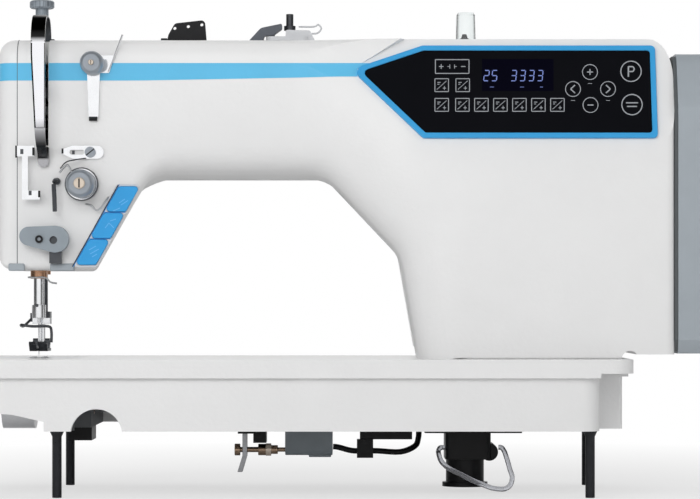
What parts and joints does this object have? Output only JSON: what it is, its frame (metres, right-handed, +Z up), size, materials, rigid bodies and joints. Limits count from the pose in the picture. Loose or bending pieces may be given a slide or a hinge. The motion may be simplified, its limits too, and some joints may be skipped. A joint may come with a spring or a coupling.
{
  "type": "lockstitch sewing machine head",
  "caption": "Industrial lockstitch sewing machine head with built-in motor, white body, blue stripe, tilted control panel, needle bar, presser foot, rotary hook and feed.",
  "frame": {"origin": "bottom centre of the bounding box, on the floor under the legs", "axes": "+X along the arm from the needle to the handwheel, +Y to the back, +Z up"},
  "size_m": [0.612, 0.178, 0.3374],
  "materials": {
    "white_paint": "smooth",
    "grey_plastic": "satin",
    "grey_paint": "smooth",
    "steel": "brushed",
    "bright_steel": "polished",
    "bronze": "turned",
    "dark_steel": "satin",
    "black_plastic": "matte",
    "black_gloss": "gloss",
    "blue_plastic": "gloss",
    "pale_plastic": "satin",
    "clear_plastic": "clear",
    "black_rubber": "matte"
  },
  "bodies": {
    "frame": {"bed_casting": "white_paint", "arm_casting": "white_paint", "face_plate": "white_paint", "rear_cover": "white_paint", "motor_cover": "grey_plastic", "shaft_bushes": "bronze", "motor_stator": "dark_steel", "bar_bushes": "bronze", "take_up_guard": "bright_steel", "needle_plate": "steel", "bobbin_case": "bright_steel", "panel_bezel": "blue_plastic", "control_panel": "black_gloss", "key_holder": "pale_plastic", "front_guides": "bright_steel", "tension_base": "bright_steel", "top_guide": "black_plastic", "winder_base": "pale_plastic", "oil_window": "clear_plastic", "wiper_cover": "grey_paint", "oil_pump": "black_plastic", "oil_hose": "clear_plastic", "underside_brackets": "black_plastic", "trim_solenoid": "grey_paint", "solenoid_lead": "black_rubber", "legs": "dark_steel", "cover_screws": "steel"},
    "main_drive": {"main_shaft": "steel", "motor_rotor": "dark_steel", "needle_crank": "steel", "handwheel": "black_plastic"},
    "vertical_drive": {"vertical_shaft": "steel"},
    "hook_drive": {"hook_shaft": "steel", "rotating_hook": "bright_steel"},
    "needle_bar_slide": {"needle_bar": "bright_steel", "needle": "bright_steel"},
    "needle_link_arm": {"needle_link": "steel"},
    "take_up": {"take_up_lever": "bright_steel"},
    "presser": {"presser_bar": "dark_steel", "presser_foot": "bright_steel", "finger_guard": "dark_steel", "presser_spring": "steel"},
    "presser_tilt": {"presser_sole": "dark_steel"},
    "pressure_knob": {"pressure_screw": "grey_paint"},
    "lifter": {"hand_lifter": "bright_steel"},
    "slide_cover": {"slide_plate": "steel"},
    "feed_rock": {"feed_rock_shaft": "dark_steel"},
    "feed": {"feed_bar": "dark_steel", "feed_dog": "steel"},
    "bobbin_spin": {"bobbin": "bright_steel"},
    "upper_key": {"key_top": "blue_plastic"},
    "middle_key": {"key_middle": "blue_plastic"},
    "lower_key": {"key_bottom": "blue_plastic"},
    "pretension": {"pretension_knob": "dark_steel"},
    "tension": {"tension_knob": "bright_steel"},
    "check": {"check_spring": "steel"},
    "winder": {"winder_spindle": "dark_steel"},
    "winder_lever": {"winder_latch": "grey_paint"},
    "trim_arm": {"trim_lever": "steel"},
    "trim_slide": {"trim_rod": "bronze"}
  },
  "joints": [
    {"name": "main_turn", "type": "hinge", "parent": "frame", "child": "main_drive", "pos_m": [-0.03, 0.006, 0.2564], "axis": [1, 0, 0], "continuous": true},
    {"name": "vertical_turn", "type": "hinge", "parent": "frame", "child": "vertical_drive", "pos_m": [0.067, 0.006, 0.1714], "axis": [0, 0, 1], "continuous": true},
    {"name": "hook_turn", "type": "hinge", "parent": "frame", "child": "hook_drive", "pos_m": [-0.13, 0.006, 0.0604], "axis": [1, 0, 0], "continuous": true},
    {"name": "needle_bar_travel", "type": "slide", "parent": "frame", "child": "needle_bar_slide", "axis": [0, 0, 1], "range_m": [-0.01535, 0.01535]},
    {"name": "link_swing", "type": "hinge", "parent": "needle_bar_slide", "child": "needle_link_arm", "pos_m": [-0.21725, 0.006, 0.22273], "axis": [1, 0, 0], "range_deg": [0, 49]},
    {"name": "take_up_swing", "type": "hinge", "parent": "frame", "child": "take_up", "pos_m": [-0.2228, -0.008, 0.2694], "axis": [1, 0, 0], "range_deg": [-36, 36]},
    {"name": "presser_travel", "type": "slide", "parent": "frame", "child": "presser", "axis": [0, 0, 1], "range_m": [-0.0036, 0.0046], "deforming": ["presser_spring"]},
    {"name": "sole_tilt", "type": "hinge", "parent": "presser", "child": "presser_tilt", "pos_m": [-0.2294, 0.018, 0.1014], "axis": [1, 0, 0], "range_deg": [-8, 8]},
    {"name": "pressure_turn", "type": "hinge", "parent": "frame", "child": "pressure_knob", "pos_m": [-0.2294, 0.021, 0.3314], "axis": [0, 0, 1], "continuous": true},
    {"name": "lifter_swing", "type": "hinge", "parent": "frame", "child": "lifter", "pos_m": [-0.21, 0.056, 0.2034], "axis": [0, 1, 0], "range_deg": [-60, 0]},
    {"name": "slide_plate_travel", "type": "slide", "parent": "frame", "child": "slide_cover", "axis": [1, 0, 0], "range_m": [-0.05, 0]},
    {"name": "rock_swing", "type": "hinge", "parent": "frame", "child": "feed_rock", "pos_m": [-0.18, 0.051, 0.0574], "axis": [1, 0, 0], "range_deg": [-5, 5]},
    {"name": "feed_level", "type": "hinge", "parent": "feed_rock", "child": "feed", "pos_m": [-0.23, 0.051, 0.0794], "axis": [1, 0, 0], "range_deg": [-5, 5]},
    {"name": "bobbin_turn", "type": "hinge", "parent": "frame", "child": "bobbin_spin", "pos_m": [-0.242, 0.006, 0.0604], "axis": [1, 0, 0], "continuous": true},
    {"name": "upper_key_press", "type": "slide", "parent": "frame", "child": "upper_key", "axis": [0, 1, 0], "range_m": [0, 0.0012], "stiffness_N_per_m": 1200, "springref_m": -0.0005},
    {"name": "middle_key_press", "type": "slide", "parent": "frame", "child": "middle_key", "axis": [0, 1, 0], "range_m": [0, 0.0012], "stiffness_N_per_m": 1200, "springref_m": -0.0005},
    {"name": "lower_key_press", "type": "slide", "parent": "frame", "child": "lower_key", "axis": [0, 1, 0], "range_m": [0, 0.0012], "stiffness_N_per_m": 1200, "springref_m": -0.0005},
    {"name": "pretension_turn", "type": "hinge", "parent": "frame", "child": "pretension", "pos_m": [-0.1896, -0.044, 0.2894], "axis": [0, 1, 0], "continuous": true},
    {"name": "tension_turn", "type": "hinge", "parent": "frame", "child": "tension", "pos_m": [-0.1967, -0.049, 0.2084], "axis": [0, 1, 0], "continuous": true},
    {"name": "check_swing", "type": "hinge", "parent": "frame", "child": "check", "pos_m": [-0.1967, -0.044, 0.2084], "axis": [0, 1, 0], "range_deg": [-18, 10], "stiffness_Nm_per_rad": 0.05},
    {"name": "winder_turn", "type": "hinge", "parent": "frame", "child": "winder", "pos_m": [-0.058, 0.006, 0.3164], "axis": [0, 0, 1], "continuous": true},
    {"name": "winder_latch_swing", "type": "hinge", "parent": "frame", "child": "winder_lever", "pos_m": [-0.07, -0.002, 0.3114], "axis": [0, 0, 1], "range_deg": [-12, 25]},
    {"name": "trim_pull", "type": "slide", "parent": "frame", "child": "trim_slide", "axis": [1, 0, 0], "range_m": [0, 0.004]},
    {"name": "trim_arm_swing", "type": "hinge", "parent": "frame", "child": "trim_arm", "pos_m": [-0.088, -0.014, 0.0474], "axis": [0, 1, 0], "range_deg": [-12.7, 0]}
  ],
  "couplings": [
    {"joint": "vertical_turn", "follows": "main_turn", "ratio": -1},
    {"joint": "hook_turn", "follows": "main_turn", "ratio": -2},
    {"joint": "feed_level", "follows": "rock_swing", "ratio": -1},
    {"joint": "trim_arm_swing", "follows": "trim_pull", "rad_per_m": -54.945}
  ]
}
